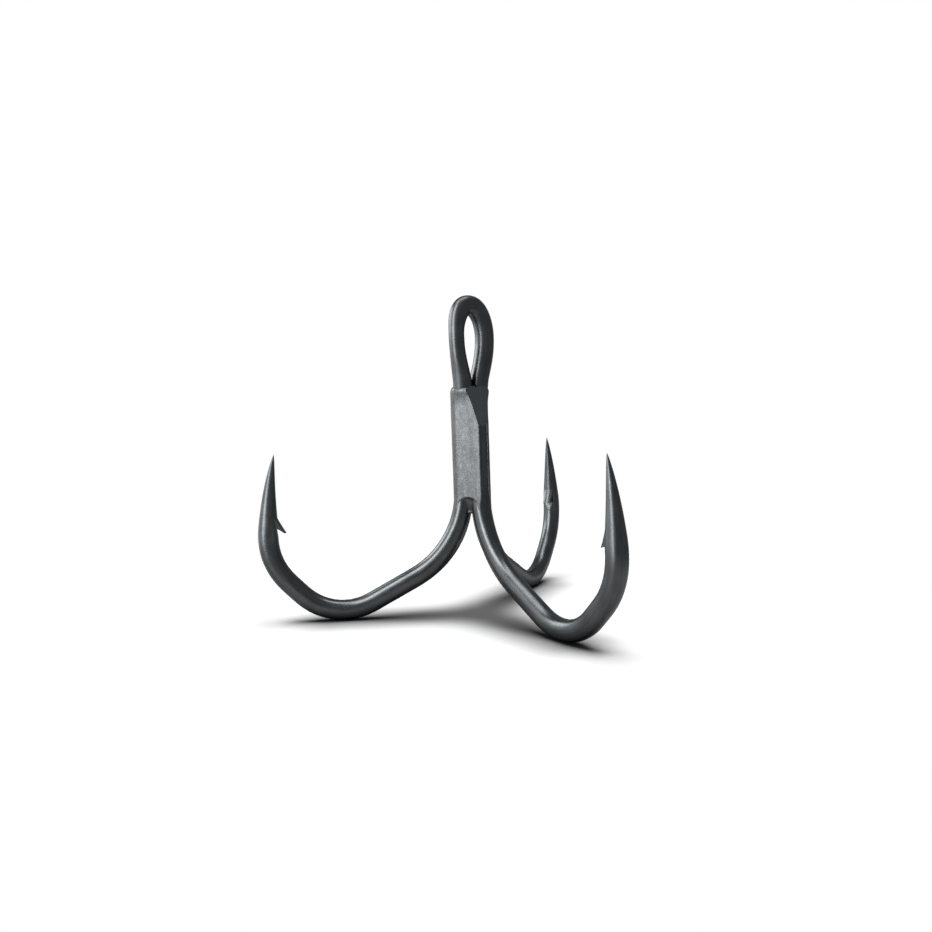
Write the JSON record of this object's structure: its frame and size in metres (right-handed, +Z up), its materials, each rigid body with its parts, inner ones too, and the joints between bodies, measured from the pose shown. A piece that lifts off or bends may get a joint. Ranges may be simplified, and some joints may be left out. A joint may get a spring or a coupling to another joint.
{
  "type": "treble hook",
  "caption": "Treble fishing hook: a double hook with a closed eye and a single hook brazed to its shank, with barbed spear points and black-nickel finish.",
  "frame": {"origin": "inside of the top of the eye, on the axis of the shank, where a split ring or a line pulls", "axes": "+Z up the shank, away from the bends; the single hook opens along +X, and the two hooks of the pair stand at 120 degrees to it, so the eye lies in the YZ plane"},
  "size_m": [0.0421, 0.0484, 0.0407],
  "materials": {
    "plated_wire": "black-nickel plate over forged carbon steel wire, satin gloss",
    "braze": "plated braze filler, dull and mottled"
  },
  "bodies": {
    "root": {"double_hook_wire": "plated_wire", "single_hook_wire": "plated_wire", "braze_fillet_right": "braze", "braze_fillet_left": "braze", "braze_fillet_back": "braze", "braze_core": "braze"}
  },
  "joints": []
}
